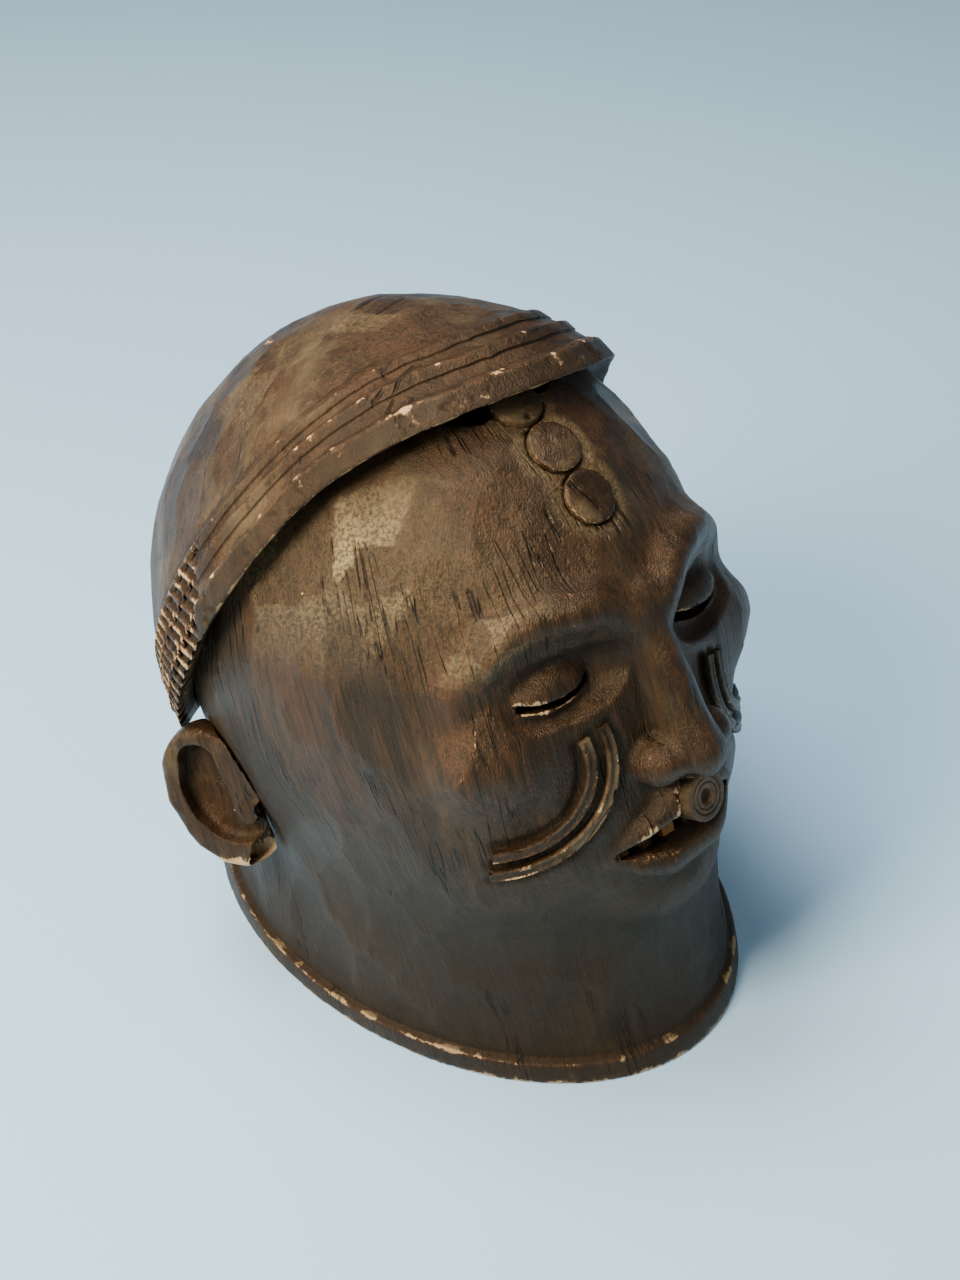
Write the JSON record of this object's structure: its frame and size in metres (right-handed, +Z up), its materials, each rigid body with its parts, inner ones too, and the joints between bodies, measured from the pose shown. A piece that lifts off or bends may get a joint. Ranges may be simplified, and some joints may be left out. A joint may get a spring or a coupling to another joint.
{
  "type": "carved wooden helmet mask",
  "caption": "Hollow carved wooden helmet mask with a tilted head, stepped cap band, cupped ears, inlaid forehead discs, lip plug and a flat neck rim.",
  "frame": {"origin": "centre of the neck opening in the plane of the rim that the mask stands on", "axes": "+Z up, -Y the way the face looks, +X the mask's own left"},
  "size_m": [0.2156, 0.2681, 0.2629],
  "materials": {
    "head_wood": "dark brown stain, semi-gloss patina, pale worn edges",
    "cap_wood": "dark brown stain, satin, pale worn crests",
    "ear_wood": "dark brown stain, pale chipped edges",
    "disc_wood": "near-black stained wood, satin",
    "plug_wood": "dark brown turned wood with rings",
    "tooth_wood": "grey to orange-brown stained wood",
    "strip_wood": "dark grey-brown stain with ochre edges"
  },
  "bodies": {
    "root": {"head_shell": "head_wood", "cap_shell": "cap_wood", "ear_right": "ear_wood", "ear_left": "ear_wood", "forehead_disc_lower": "disc_wood", "forehead_disc_middle": "disc_wood", "forehead_disc_upper": "disc_wood", "lip_plug": "plug_wood", "tooth_1": "tooth_wood", "tooth_2": "tooth_wood", "tooth_3": "tooth_wood", "tooth_4": "tooth_wood", "tooth_5": "tooth_wood", "tooth_6": "tooth_wood", "cheek_strip_outer_right": "strip_wood", "cheek_strip_inner_right": "strip_wood", "cheek_strip_outer_left": "strip_wood", "cheek_strip_inner_left": "strip_wood"}
  },
  "joints": []
}
